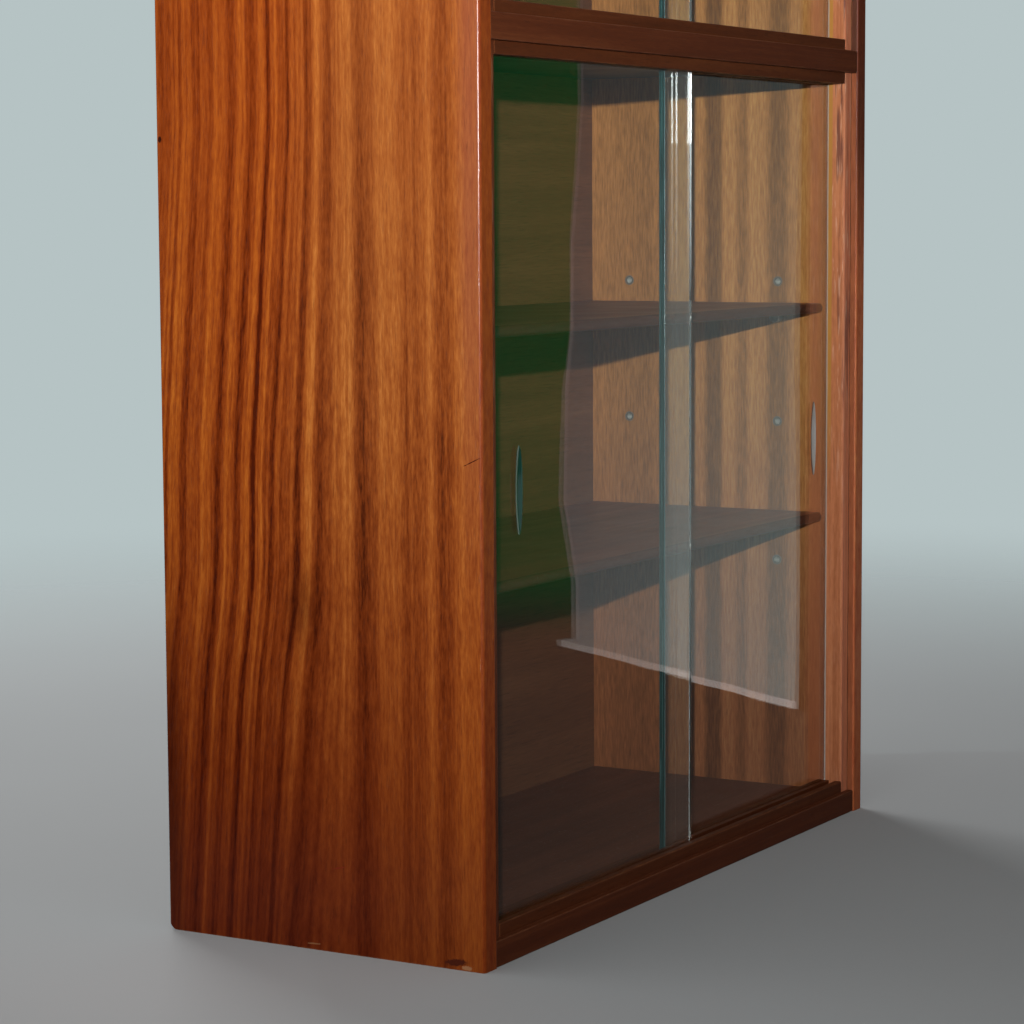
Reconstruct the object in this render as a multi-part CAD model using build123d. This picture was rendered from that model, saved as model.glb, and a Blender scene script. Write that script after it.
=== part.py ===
from build123d import *
import os

# A tall glazed bookcase in one piece, with two equal compartments. Each compartment is closed by a
# pair of frameless glass doors that slide sideways past each other in grooved hardwood strips, and
# holds two loose shelves on metal studs. Sizes are in millimetres. X runs from left to right, Y from
# front to back and Z up from the floor, with the origin on the floor under the middle of the case.

# Case
case_width = 762.0
case_depth = 315.0
opening_height = 727.0  # between the front lippings of one compartment
side_thickness = 20.0
board_thickness = 18.0
lipping_lap = 2.0  # of a front lipping above and below its board
lipping_thickness = 6.0
lipping_setback = 1.0  # behind the front edges of the sides
outer_arris_radius = 3.0
inner_arris_radius = 2.0
rear_arris_radius = 1.0
lipping_arris_radius = 1.2
foot_corner_radius = 8.0  # rounded lower back corner of each side

# Back
back_thickness = 6.0
back_recess = 3.0  # from the rear edges of the sides
back_fit = 0.5

# Grooved strips that carry the doors
glass_thickness = 6.0
groove_play = 1.0
front_land = 6.5
fin_width = 5.0
rear_land = 4.5
bottom_groove_depth = 5.0
top_engagement = 4.5
lift_clearance = 1.0  # left over when a door is raised clear of its bottom groove
groove_backing = 2.5
jamb_groove_depth = 6.0
jamb_backing = 10.0
track_arris_radius = 1.5
jamb_arris_radius = 2.5

# Glass doors
door_overlap = 37.0
edge_gap = 0.5
run_gap = 0.2
glass_arris = 0.4
pull_length = 74.0
pull_width = 12.0
pull_depth = 2.5
left_pull_inset = 53.0  # from the closing edge of a left door to the middle of its finger pull
right_pull_inset = 35.5  # the same on a right door

# Shelves and the studs that carry them
shelf_thickness = 10.0
shelf_end_gap = 1.0
shelf_back_gap = 1.5
shelf_front_gap = 4.0
nose_flat = 0.6
front_column_inset = 50.0  # from the front edge of a shelf
back_column_inset = 42.5  # from its back edge
row_lift = 12.5  # middle row of sockets above the middle of the compartment
shelf_row_offset = 106.5  # from the middle row to the rows that carry the shelves
spare_row_step = 36.5  # from a shelf row to the spare row beyond it
stud_shank_diameter = 6.0
stud_head_diameter = 10.5
stud_head_length = 9.0
stud_flat = 0.4
stud_end_chamfer = 0.8
socket_wall = 1.2
socket_floor = 1.0
flange_width = 0.8
flange_thickness = 0.6
fit_clearance = 0.05

# Dowels, pins and screws
blind_backing = 8.0  # wood left between a hole in a side and its outer face
dowel_diameter = 8.0
dowel_in_board = 24.0
dowel_inset = 50.0
pin_diameter = 1.6
pin_end_gap = 1.0  # from the middle of a board to the ends of the pins in it
pin_inset = 60.0
screw_diameter = 3.5
screw_grip = 16.0
screw_head_diameter = 7.0
screw_head_height = 2.4
screw_head_rounding = 1.5
screw_head_margin = 0.5  # to the edges of the rebate
screw_slot_width = 1.0
screw_slot_depth = 1.1
screw_inset = 60.0

dowels_per_end = 3
pins_per_strip = 3
screws_per_side = 5
screws_per_board = 3

# Places worked out from the sizes above
compartments = ("lower", "upper")
left = -case_width / 2
right = case_width / 2
front = -case_depth / 2
back = case_depth / 2
inner_left = left + side_thickness
inner_right = right - side_thickness
lipping_height = board_thickness + 2 * lipping_lap
case_height = 3 * lipping_height + 2 * opening_height

lipping_front = front + lipping_setback
board_front = lipping_front + lipping_thickness
board_back = back - back_recess - back_thickness
rebate_width = screw_head_diameter + 2 * screw_head_margin

groove_width = glass_thickness + groove_play
top_groove_depth = bottom_groove_depth + lift_clearance + top_engagement
track_height = top_groove_depth + groove_backing
front_groove = board_front + front_land
rear_groove = front_groove + groove_width + fin_width
strip_back = rear_groove + groove_width + rear_land
jamb_width = jamb_backing + jamb_groove_depth

door_left = inner_left + jamb_backing + edge_gap
door_right = inner_right - jamb_backing - edge_gap
door_width = (door_right - door_left + door_overlap) / 2

shelf_front = strip_back + shelf_front_gap
shelf_back = board_back - shelf_back_gap
columns = (shelf_front + front_column_inset, shelf_back - back_column_inset)
spare_row_offset = shelf_row_offset + spare_row_step
row_offsets = (-spare_row_offset, -shelf_row_offset, 0.0, shelf_row_offset, spare_row_offset)
socket_depth = side_thickness - blind_backing
socket_bore_radius = stud_shank_diameter / 2 + fit_clearance
socket_radius = socket_bore_radius + socket_wall
stud_rest = stud_head_diameter / 2 - stud_flat


def lipping_bottom(level):
    return level * (lipping_height + opening_height)


def board_middle(level):
    return lipping_bottom(level) + lipping_height / 2


def board_top(level):
    return board_middle(level) + board_thickness / 2


def board_underside(level):
    return board_middle(level) - board_thickness / 2


def row_heights(level):
    middle = (board_top(level) + board_underside(level + 1)) / 2 + row_lift
    return [middle + offset for offset in row_offsets]


def shelf_rows(level):
    rows = row_heights(level)
    return {"low": rows[1], "high": rows[3]}


def spread(low, high, inset, count):
    step = (high - low - 2 * inset) / (count - 1)
    return [low + inset + step * i for i in range(count)]


def block(x, y, z):
    centre = Pos((x[0] + x[1]) / 2, (y[0] + y[1]) / 2, (z[0] + z[1]) / 2)
    return centre * Box(x[1] - x[0], y[1] - y[0], z[1] - z[0])


def rod(start, end, radius):
    run = Vector(*end) - Vector(*start)
    bar = Cylinder(radius, run.length, align=(Align.CENTER, Align.CENTER, Align.MIN))
    return Plane(origin=start, z_dir=run) * bar


def edge_at(shape, axis, x, y):
    # The edge along an axis that is nearest to a point in the plane across it.
    across = [name for name in "XYZ" if name != axis]

    def distance(edge):
        middle = edge.center()
        return abs(getattr(middle, across[0]) - x) + abs(getattr(middle, across[1]) - y)

    along = {"X": Axis.X, "Y": Axis.Y, "Z": Axis.Z}[axis]
    return min(shape.edges().filter_by(along), key=distance)


def rounded(shape, axis, x, y, radius):
    return fillet(edge_at(shape, axis, x, y), radius)


# Fasteners. Each function gives the places as start and end points, so that the same list makes the
# fasteners and, a little larger, their holes.

def dowel_lines(level):
    lines = []
    for y in spread(board_front, board_back, dowel_inset, dowels_per_end):
        z = board_middle(level)
        lines.append(((left + blind_backing, y, z), (inner_left + dowel_in_board, y, z)))
        lines.append(((right - blind_backing, y, z), (inner_right - dowel_in_board, y, z)))
    return lines


def track_pin_lines(level):
    # Through the floor of the rear groove of each track and on into the board behind it.
    lines = []
    y = rear_groove + groove_width / 2
    bottom = board_top(level) + track_height - bottom_groove_depth
    top = board_underside(level + 1) - groove_backing
    for x in spread(inner_left + jamb_width, inner_right - jamb_width, pin_inset, pins_per_strip):
        lines.append(((x, y, bottom), (x, y, board_middle(level) + pin_end_gap)))
        lines.append(((x, y, top), (x, y, board_middle(level + 1) - pin_end_gap)))
    return lines


def jamb_pin_lines(level):
    # Through the floor of each jamb's groove and on into the side.
    lines = []
    for z in spread(board_top(level), board_underside(level + 1), pin_inset, pins_per_strip):
        y = front_groove + groove_width / 2
        lines.append(((inner_left + jamb_backing, y, z), (left + blind_backing, y, z)))
        y = rear_groove + groove_width / 2
        lines.append(((inner_right - jamb_backing, y, z), (right - blind_backing, y, z)))
    return lines


def back_panel_height(level):
    low = board_underside(0) if level == 0 else board_middle(level) + back_fit / 2
    high = board_top(2) if level == 1 else board_middle(level + 1) - back_fit / 2
    return low, high


def back_screw_lines(level):
    # From the rear face of the back panel forward into the sides and boards.
    low, high = back_panel_height(level)
    at = []
    for z in spread(low, high, screw_inset, screws_per_side):
        at.append((inner_left - rebate_width / 2, z))
        at.append((inner_right + rebate_width / 2, z))
    for x in spread(inner_left, inner_right, screw_inset, screws_per_board):
        at.append((x, (low + min(board_top(level), high)) / 2))
        at.append((x, (high + max(board_underside(level + 1), low)) / 2))
    face = board_back + back_thickness
    return [((x, face, z), (x, board_back - screw_grip, z)) for x, z in at]


def holes(lines, diameter):
    return [rod(start, end, diameter / 2 + fit_clearance) for start, end in lines]


def bars(lines, diameter):
    return Compound([rod(start, end, diameter / 2).solid() for start, end in lines])


def back_screw(start, end):
    x, face, z = start
    dome = rod((x, face, z), (x, face + screw_head_height, z), screw_head_diameter / 2)
    dome = fillet(dome.edges().group_by(Axis.Y)[-1], screw_head_rounding)
    reach = screw_head_diameter / 2
    crown = face + screw_head_height
    slot = block((x - reach, x + reach), (crown - screw_slot_depth, crown),
                 (z - screw_slot_width / 2, z + screw_slot_width / 2))
    return (rod(start, end, screw_diameter / 2) + dome - slot).solid()


def socket_lines(level, face, outward):
    return [((face, y, z), (face + outward * socket_depth, y, z))
            for y in columns for z in row_heights(level)]


# Case pieces

def foot_corner(x1, x2):
    # What a side loses outside the rounding of its lower back corner.
    y = back - foot_corner_radius
    z = foot_corner_radius
    return block((x1, x2), (y, back), (0, z)) - rod((x1, y, z), (x2, y, z), foot_corner_radius)


def side_panel(outer, inner, outward):
    shape = block(sorted((outer, inner)), (front, back), (0, case_height))
    shape = rounded(shape, "Z", outer, front, outer_arris_radius)
    shape = rounded(shape, "Z", inner, front, inner_arris_radius)
    shape = rounded(shape, "Z", outer, back, rear_arris_radius)
    rebate = block(sorted((inner, inner + outward * rebate_width)), (board_back, back), (0, case_height))
    cuts = [rebate, foot_corner(*sorted((outer, inner)))]
    for level in range(3):
        cuts += holes(dowel_lines(level), dowel_diameter)
    for level in range(2):
        cuts += holes(jamb_pin_lines(level), pin_diameter)
        cuts += holes(back_screw_lines(level), screw_diameter)
        cuts += holes(socket_lines(level, inner, outward), 2 * socket_radius)
    return shape - cuts


def board(level):
    # The top board is thicker, flush with the tops of the sides.
    high = case_height if level == 2 else board_top(level)
    shape = block((inner_left, inner_right), (board_front, board_back), (board_underside(level), high))
    cuts = holes(dowel_lines(level), dowel_diameter)
    for neighbour in range(2):
        cuts += holes(track_pin_lines(neighbour), pin_diameter)
        cuts += holes(back_screw_lines(neighbour), screw_diameter)
    return shape - cuts


def front_lipping(level):
    low = lipping_bottom(level)
    shape = block((inner_left, inner_right), (lipping_front, board_front), (low, low + lipping_height))
    for z in (low, low + lipping_height):
        shape = rounded(shape, "X", lipping_front, z, lipping_arris_radius)
    return shape


def back_panel(level):
    shape = block((inner_left - rebate_width + back_fit, inner_right + rebate_width - back_fit),
                  (board_back, board_back + back_thickness), back_panel_height(level))
    return shape - holes(back_screw_lines(level), screw_diameter)


# Strips around each opening

def door_track(level, is_top):
    if is_top:
        low, high = board_underside(level + 1) - track_height, board_underside(level + 1)
        mouth, floor = low, low + top_groove_depth
    else:
        low, high = board_top(level), board_top(level) + track_height
        mouth, floor = high, high - bottom_groove_depth
    span = (inner_left + jamb_width, inner_right - jamb_width)
    shape = block(span, (board_front, strip_back), (low, high))
    shape = rounded(shape, "X", board_front, mouth, track_arris_radius)
    grooves = [block(span, (y, y + groove_width), sorted((mouth, floor))) for y in (front_groove, rear_groove)]
    return shape - (grooves + holes(track_pin_lines(level), pin_diameter))


def jamb(level, face, inward, groove, rear):
    inner = face + inward * jamb_width
    height = (board_top(level), board_underside(level + 1))
    shape = block(sorted((face, inner)), (board_front, rear), height)
    shape = rounded(shape, "Z", inner, board_front, jamb_arris_radius)
    floor = face + inward * jamb_backing
    groove_cut = block(sorted((floor, inner)), (groove, groove + groove_width), height)
    return shape - [groove_cut, *holes(jamb_pin_lines(level), pin_diameter)]


# Glass doors

def finger_pull(x, face, z):
    # The hollow that a grinding wheel with a rounded rim leaves in the face of the glass.
    wheel = ((pull_length / 2) ** 2 + pull_depth ** 2) / (2 * pull_depth)
    rim = ((pull_width / 2) ** 2 + pull_depth ** 2) / (2 * pull_depth)
    return Pos(x, face + pull_depth - wheel, z) * Rot(0, 90, 0) * Torus(wheel - rim, rim)


def glass_door(level, on_left):
    groove = front_groove if on_left else rear_groove
    face = groove + groove_play / 2
    x = (door_left, door_left + door_width) if on_left else (door_right - door_width, door_right)
    low = board_top(level) + track_height - bottom_groove_depth + run_gap
    high = board_underside(level + 1) - track_height + top_engagement
    pane = block(x, (face, face + glass_thickness), (low, high))
    pane = chamfer(pane.edges(), glass_arris)
    middle = x[0] + left_pull_inset if on_left else x[1] - right_pull_inset
    return pane - finger_pull(middle, face, (low + high) / 2)


# Shelves

def shelf(row):
    low = row + stud_rest
    high = low + shelf_thickness
    shape = block((inner_left + shelf_end_gap, inner_right - shelf_end_gap), (shelf_front, shelf_back),
                  (low, high))
    noses = [edge_at(shape, "X", shelf_front, low), edge_at(shape, "X", shelf_front, high)]
    return fillet(noses, (shelf_thickness - nose_flat) / 2)


def stud(face, outward, y, z):
    seat = face - outward * flange_thickness
    end = seat - outward * stud_head_length
    head = rod((seat, y, z), (end, y, z), stud_head_diameter / 2)
    ends = head.edges().sort_by(lambda edge: -abs(edge.center().X))
    head = chamfer(ends[-1], stud_end_chamfer)
    span = sorted((seat, end))
    reach = stud_head_diameter / 2
    head = head - block(span, (y - reach, y + reach), (z + stud_rest, z + reach))
    tip = face + outward * (socket_depth - socket_floor)
    return (head + rod((seat, y, z), (tip, y, z), stud_shank_diameter / 2)).solid()


def shelf_studs(row):
    return Compound([stud(face, outward, y, row)
                     for face, outward in ((inner_left, -1), (inner_right, 1)) for y in columns])


def socket(start, end, outward):
    x, y, z = start
    lip = (x - outward * flange_thickness, y, z)
    sleeve = rod(start, end, socket_radius) + rod(lip, start, socket_radius + flange_width)
    bore_end = (end[0] - outward * socket_floor / 2, y, z)
    return (sleeve - rod(lip, bore_end, socket_bore_radius)).solid()


def sockets(level, face, outward):
    return Compound([socket(start, end, outward) for start, end in socket_lines(level, face, outward)])


pieces = {
    "left_side_panel": side_panel(left, inner_left, -1),
    "right_side_panel": side_panel(right, inner_right, 1),
}

for level, name in enumerate(("bottom", "divider", "top")):
    pieces[f"{name}_board"] = board(level)
    pieces[f"{name}_front_lipping"] = front_lipping(level)
    pieces[f"{name}_board_dowels"] = bars(dowel_lines(level), dowel_diameter)

for level, name in enumerate(compartments):
    pieces[f"{name}_back_panel"] = back_panel(level)
    pieces[f"{name}_back_screws"] = Compound([back_screw(*line) for line in back_screw_lines(level)])
    pieces[f"{name}_bottom_track"] = door_track(level, False)
    pieces[f"{name}_top_track"] = door_track(level, True)
    pieces[f"{name}_left_jamb"] = jamb(level, inner_left, 1, front_groove, strip_back)
    # The right jamb ends with its groove, which is open to the back.
    pieces[f"{name}_right_jamb"] = jamb(level, inner_right, -1, rear_groove, rear_groove + groove_width)
    pieces[f"{name}_track_pins"] = bars(track_pin_lines(level), pin_diameter)
    pieces[f"{name}_jamb_pins"] = bars(jamb_pin_lines(level), pin_diameter)
    pieces[f"{name}_left_door"] = glass_door(level, True)
    pieces[f"{name}_right_door"] = glass_door(level, False)
    pieces[f"{name}_left_sockets"] = sockets(level, inner_left, -1)
    pieces[f"{name}_right_sockets"] = sockets(level, inner_right, 1)
    for place, row in shelf_rows(level).items():
        pieces[f"{name}_{place}_shelf"] = shelf(row)
        pieces[f"{name}_{place}_shelf_studs"] = shelf_studs(row)

os.makedirs("parts", exist_ok=True)
for node, shape in pieces.items():
    export_step(shape, f"parts/{node}.step")
print(f"{len(pieces)} pieces, case {case_width} x {case_depth} x {case_height}")
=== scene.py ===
import math

import bmesh
import bpy
from mathutils import Matrix, Vector


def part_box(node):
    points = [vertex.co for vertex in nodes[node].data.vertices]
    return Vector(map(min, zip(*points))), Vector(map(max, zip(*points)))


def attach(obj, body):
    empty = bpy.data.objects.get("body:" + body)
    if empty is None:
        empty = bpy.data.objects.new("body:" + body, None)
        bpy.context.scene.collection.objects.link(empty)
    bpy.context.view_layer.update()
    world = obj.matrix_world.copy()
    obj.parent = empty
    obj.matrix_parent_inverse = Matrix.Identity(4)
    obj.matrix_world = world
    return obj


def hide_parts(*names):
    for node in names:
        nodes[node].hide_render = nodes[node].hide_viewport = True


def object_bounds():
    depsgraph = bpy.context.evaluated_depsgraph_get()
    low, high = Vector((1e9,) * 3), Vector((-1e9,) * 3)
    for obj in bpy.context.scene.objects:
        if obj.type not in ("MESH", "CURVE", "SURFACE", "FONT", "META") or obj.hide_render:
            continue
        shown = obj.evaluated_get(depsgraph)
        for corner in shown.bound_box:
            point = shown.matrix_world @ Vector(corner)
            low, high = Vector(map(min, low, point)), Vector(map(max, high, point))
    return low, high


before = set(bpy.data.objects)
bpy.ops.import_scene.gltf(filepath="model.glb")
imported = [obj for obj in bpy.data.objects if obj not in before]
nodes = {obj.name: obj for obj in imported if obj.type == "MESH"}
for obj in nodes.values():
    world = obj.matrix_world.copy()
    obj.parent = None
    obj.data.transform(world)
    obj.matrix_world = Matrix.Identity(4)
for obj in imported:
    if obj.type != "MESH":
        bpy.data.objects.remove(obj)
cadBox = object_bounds()
caseLow, caseHigh = cadBox
print("frame:", len(nodes), "nodes")


# shader helpers

def tint(code):
    shares = [int(code[i:i + 2], 16) / 255 for i in (0, 2, 4)]
    return [s / 12.92 if s < 0.04045 else ((s + 0.055) / 1.055) ** 2.4 for s in shares] + [1.0]


def put(tree, kind, inputs=None, **settings):
    node = tree.nodes.new(kind)
    for key, value in settings.items():
        setattr(node, key, value)
    for key, value in (inputs or {}).items():
        if isinstance(value, bpy.types.NodeSocket):
            tree.links.new(value, node.inputs[key])
        else:
            node.inputs[key].default_value = value
    return node


def calc(tree, operation, first, second=0.0, third=0.0):
    return put(tree, "ShaderNodeMath", {0: first, 1: second, 2: third}, operation=operation).outputs[0]


def fade(tree, value, start, end, low=0.0, high=1.0):
    limits = {"Value": value, "From Min": start, "From Max": end, "To Min": low, "To Max": high}
    return put(tree, "ShaderNodeMapRange", limits, interpolation_type="SMOOTHSTEP").outputs[0]


def grainNoise(tree, place, scale, shift=0.0, detail=2.0):
    mapping = {"Vector": place, "Scale": scale, "Location": (shift, shift, shift)}
    stretched = put(tree, "ShaderNodeMapping", mapping).outputs[0]
    texture = {"Vector": stretched, "Scale": 1.0, "Detail": detail, "Roughness": 0.55}
    return put(tree, "ShaderNodeTexNoise", texture).outputs[0]


def toneRamp(tree, factor, stops):
    node = put(tree, "ShaderNodeValToRGB", {"Fac": factor})
    elements = node.color_ramp.elements
    for n, (position, colour) in enumerate(stops):
        element = elements[n] if n < 2 else elements.new(position)
        element.position = position
        element.color = tint(colour) if isinstance(colour, str) else (colour, colour, colour, 1.0)
    return node.outputs[0]


def blendTint(tree, factor, under, over, blend="MIX"):
    inputs = {0: factor, 6: under, 7: over}
    return put(tree, "ShaderNodeMix", inputs, data_type="RGBA", blend_type=blend).outputs[2]


def relief(tree, height, depth, below=None):
    inputs = {"Height": height, "Distance": depth, "Strength": 1.0}
    if below is not None:
        inputs["Normal"] = below
    return put(tree, "ShaderNodeBump", inputs).outputs[0]


def newMaterial(name, **inputs):
    material = bpy.data.materials.new(name)
    material.use_nodes = True
    tree = material.node_tree
    tree.nodes.clear()
    shader = put(tree, "ShaderNodeBsdfPrincipled", {k.replace("_", " "): v for k, v in inputs.items()})
    out = put(tree, "ShaderNodeOutputMaterial", {"Surface": shader.outputs[0]})
    return material, tree, shader, out


def objectPlace(tree):
    place = put(tree, "ShaderNodeTexCoord").outputs["Object"]
    axes = put(tree, "ShaderNodeSeparateXYZ", {0: place}).outputs
    return place, {"X": axes[0], "Y": axes[1], "Z": axes[2]}


def arrisMask(tree, axes, low, high, width, grit):
    # near 1 along the edges of a box, broken up by the grit noise
    gaps = []
    for name, a, b in zip("XYZ", low, high):
        offset = calc(tree, "SUBTRACT", axes[name], (a + b) / 2)
        gaps.append(calc(tree, "SUBTRACT", (b - a) / 2, calc(tree, "ABSOLUTE", offset)))
    pairs = [calc(tree, "MAXIMUM", gaps[i], gaps[j]) for i, j in ((0, 1), (1, 2), (0, 2))]
    nearest = calc(tree, "MINIMUM", calc(tree, "MINIMUM", pairs[0], pairs[1]), pairs[2])
    reach = 1.6 * width
    ragged = calc(tree, "MULTIPLY_ADD", grit, reach, nearest)
    return fade(tree, ragged, reach, 0.5 * width)


# how the fibres of every wood wander and open
fibreLook = {
    "swayRates": (7.0, 7.0, 1.5),
    "flatness": 0.45,
    "bandStep": 3.7,
    "poreShift": 9.1,
    "poreEdges": (0.60, 0.72),
    "poreDepth": 0.00006,
}


def woodTone(tree, axes, look, shift):
    # tone of the wood from 0, dark, to 1, light, and the place along its fibres
    across, through, along = (axes[a] for a in look["axes"])
    lie = put(tree, "ShaderNodeCombineXYZ", {0: across, 1: through, 2: along}).outputs[0]
    sway = grainNoise(tree, lie, fibreLook["swayRates"], shift)
    across = calc(tree, "MULTIPLY_ADD", sway, look["wander"], across)
    lie = put(tree, "ShaderNodeCombineXYZ", {0: across, 1: through, 2: along}).outputs[0]
    tone = look["level"] - sum(amount for a, b, amount in look["bands"]) / 2
    for n, (acrossRate, alongRate, amount) in enumerate(look["bands"]):
        rates = (acrossRate, acrossRate * fibreLook["flatness"], alongRate)
        band = grainNoise(tree, lie, rates, shift + fibreLook["bandStep"] * n)
        tone = calc(tree, "MULTIPLY_ADD", band, amount, tone)
    return tone, lie, across, along


def poreMask(tree, lie, rates):
    pores = grainNoise(tree, lie, rates, fibreLook["poreShift"], 1.0)
    return fade(tree, pores, *fibreLook["poreEdges"])


# veneered sides: polished outside, plain and golden inside
sideLook = {
    "axes": "YXZ",
    "wander": 0.003,
    "level": 0.0,
    "gleam": 0.25,
    "bands": [(60.0, 1.2, 0.14), (420.0, 2.0, 0.30), (430.0, 55.0, 0.70), (800.0, 150.0, 0.40)],
    # narrow stripes behind the middle: rates, amount, depths where they set in
    "stripes": ((250.0, 50.0, 0.8), 0.30, (0.090, 0.160)),
    "stripeEdges": (0.36, 0.64),
    # the figure is softer towards the top and the floor
    "contrast": ((0.42, 0.72), (1.15, 0.80), (0.05, 0.34, 0.65)),
    "patches": ((10.0, 10.0, 5.0), 0.30),
    # the ribbons lean back towards the floor, more at the rear, with one dip on the way
    "lean": 0.074,
    "leanDepths": (0.100, 0.210),
    "leanHeights": (0.62, 0.69),
    "dip": (0.31, 0.11, 0.0045),
    # the main ribbons: millimetres from the front edge, and tone
    "ribbons": [(0, .62), (8, .58), (20, .64), (31, .34), (38, .28), (47, .68), (61, .36), (66, .55),
                (70, .34), (79, .64), (95, .66), (105, .40), (112, .24), (117, .34), (124, .74),
                (134, .58), (147, .26), (155, .72), (164, .22), (173, .60), (186, .34), (200, .74),
                (206, .16), (213, .68), (224, .32), (235, .94), (244, .08), (255, .66), (270, .34),
                (290, .56), (313, .48)],
    "redTones": [(0.0, "541b07"), (0.25, "7e320d"), (0.5, "9a4516"), (0.75, "b3591c"),
                 (1.0, "cb7027")],
    "goldTones": [(0.0, "522510"), (0.25, "7e3c18"), (0.5, "985022"), (0.75, "b0662e"),
                  (1.0, "c98040")],
    "goldFrom": ((0.215, 0.105), (0.12, 0.62, 0.25)),
    "mauve": ((0.026, 0.010), (0.25, 0.60), 0.5, "8a4a38"),
    # dark clouds on the left side: middle and half size in Y and Z, share
    "clouds": [((0.0175, 0.290), (0.018, 0.040), 0.40), ((0.154, 0.100), (0.016, 0.200), 0.55)],
    "cloudTone": "3a1408",
    "insideRibbons": [(36, .36), (60, .66), (76, .60), (84, .34), (98, .32), (106, .62), (122, .68),
                      (128, .42), (135, .46), (141, .66), (152, .66), (157, .26), (169, .22),
                      (176, .58), (206, .68), (240, .42), (300, .52)],
    "insideTones": [(0.0, "5c3519"), (0.35, "94602f"), (0.6, "c07f44"), (1.0, "e8ae66")],
    "insideFleck": ((620.0, 400.0, 70.0), 0.52),
    "insideFront": ((0.062, 0.050), 0.55, "9c5236"),
    # the inner face darker towards the floor: a painted shade for the light falling off there
    "insideShade": ((0.08, 0.50), "d6c0d4"),
    "leftEdge": [(0.0, "4c1805"), (0.5, "83340f"), (1.0, "a2501c")],
    "rightEdge": [(0.0, "6e2c16"), (0.5, "b0562e"), (1.0, "cc7a48")],
    # the right front edge darker towards the top: a painted shade, and its wear fades out there too
    "rightEdgeDim": ((0.52, 0.70), "94847e"),
    "lipTones": [(0.0, "6c301a"), (0.5, "a25f3c"), (1.0, "c4855e")],
    # the lip before the jamb is darker above the divider: a painted shade
    "lipDim": ((0.758, 0.772), "98a0b4"),
    "rawTones": [(0.0, "3e2012"), (0.5, "643a20"), (1.0, "80502e")],
    "pores": ((1500.0, 700.0, 80.0), 0.22, "2a110a"),
    "wear": (0.0016, 0.45, "a8683a"),
    # darker towards the floor and the rear: partly a painted shade for the light falling off there,
    # partly aged polish
    "grime": ((0.0, 0.47), (0.0, 0.13, 0.12), "c8aaba"),
    "jambFront": (-0.1513, -0.1497),
    # how far a finish runs round its arris before the next one sets in
    "insideTurn": (0.0014, 0.0006),
    "frontTurn": (0.0026, 0.0012),
    "rearTurn": (0.0008, 0.0002),
    "endTurn": (0.0004, 0.0001),
    "grit": (90.0, 90.0, 24.0),
    "haze": (9.0, 9.0, 5.0),
    "gloss": (0.16, 0.14, 0.22),  # roughness, its swing, and how much more it has inside
    "ripple": 0.0010,
    "cloudEdge": (1.3, 0.1),
    "markRagged": ((420.0, 420.0, 420.0), 0.9),
    "markEdge": (1.45, 1.05),
    # small marks on the left side: middle and half size in Y and Z, rise along Y, tone
    "marks": [((0.1545, 0.675), (0.0022, 0.0030), 0.0, "3a160c"),
              ((-0.148, 0.4148), (0.0095, 0.0006), 0.46, "4a1c10"),
              ((-0.017, 0.072), (0.0080, 0.0008), 0.25, "8c3018"),
              ((0.009, 0.0050), (0.0080, 0.0008), 0.05, "a06a44"),
              ((-0.130, 0.0060), (0.0130, 0.0035), 0.12, "5a2616"),
              ((-0.1405, 0.0025), (0.0055, 0.0022), 0.0, "b98058")],
}


def patchReach(tree, axes, middle, half, rise=0.0):
    # 0 in the middle of a patch of the outer face and 1 at its edge
    y = calc(tree, "SUBTRACT", axes["Y"], middle[0])
    z = calc(tree, "MULTIPLY_ADD", y, rise, calc(tree, "SUBTRACT", axes["Z"], middle[1]))
    shares = {0: calc(tree, "DIVIDE", y, half[0]), 1: calc(tree, "DIVIDE", z, half[1])}
    pair = put(tree, "ShaderNodeCombineXYZ", shares).outputs[0]
    return put(tree, "ShaderNodeVectorMath", {0: pair}, operation="LENGTH").outputs["Value"]


def bandTone(tree, depth, bands):
    # tone from a list of places in millimetres
    first, last = bands[0][0], bands[-1][0]
    limits = {"Value": depth, "From Min": first / 1000, "From Max": last / 1000}
    share = put(tree, "ShaderNodeMapRange", limits).outputs[0]
    return toneRamp(tree, share, [((mm - first) / (last - first), tone) for mm, tone in bands])


def leanSlide(tree, axes):
    # how far the figure has slid back at a place, by the lean and the dip
    look = sideLook
    height = calc(tree, "MINIMUM", axes["Z"], look["leanHeights"][1])
    slide = calc(tree, "MULTIPLY", calc(tree, "SUBTRACT", look["leanHeights"][0], height), look["lean"])
    middle, reach, amount = look["dip"]
    gap = calc(tree, "ABSOLUTE", calc(tree, "SUBTRACT", axes["Z"], middle))
    slide = calc(tree, "SUBTRACT", slide, fade(tree, gap, reach, 0.0, 0.0, amount))
    start, end = (caseLow.y + depth for depth in look["leanDepths"])
    return calc(tree, "MULTIPLY", slide, fade(tree, axes["Y"], start, end))


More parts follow.
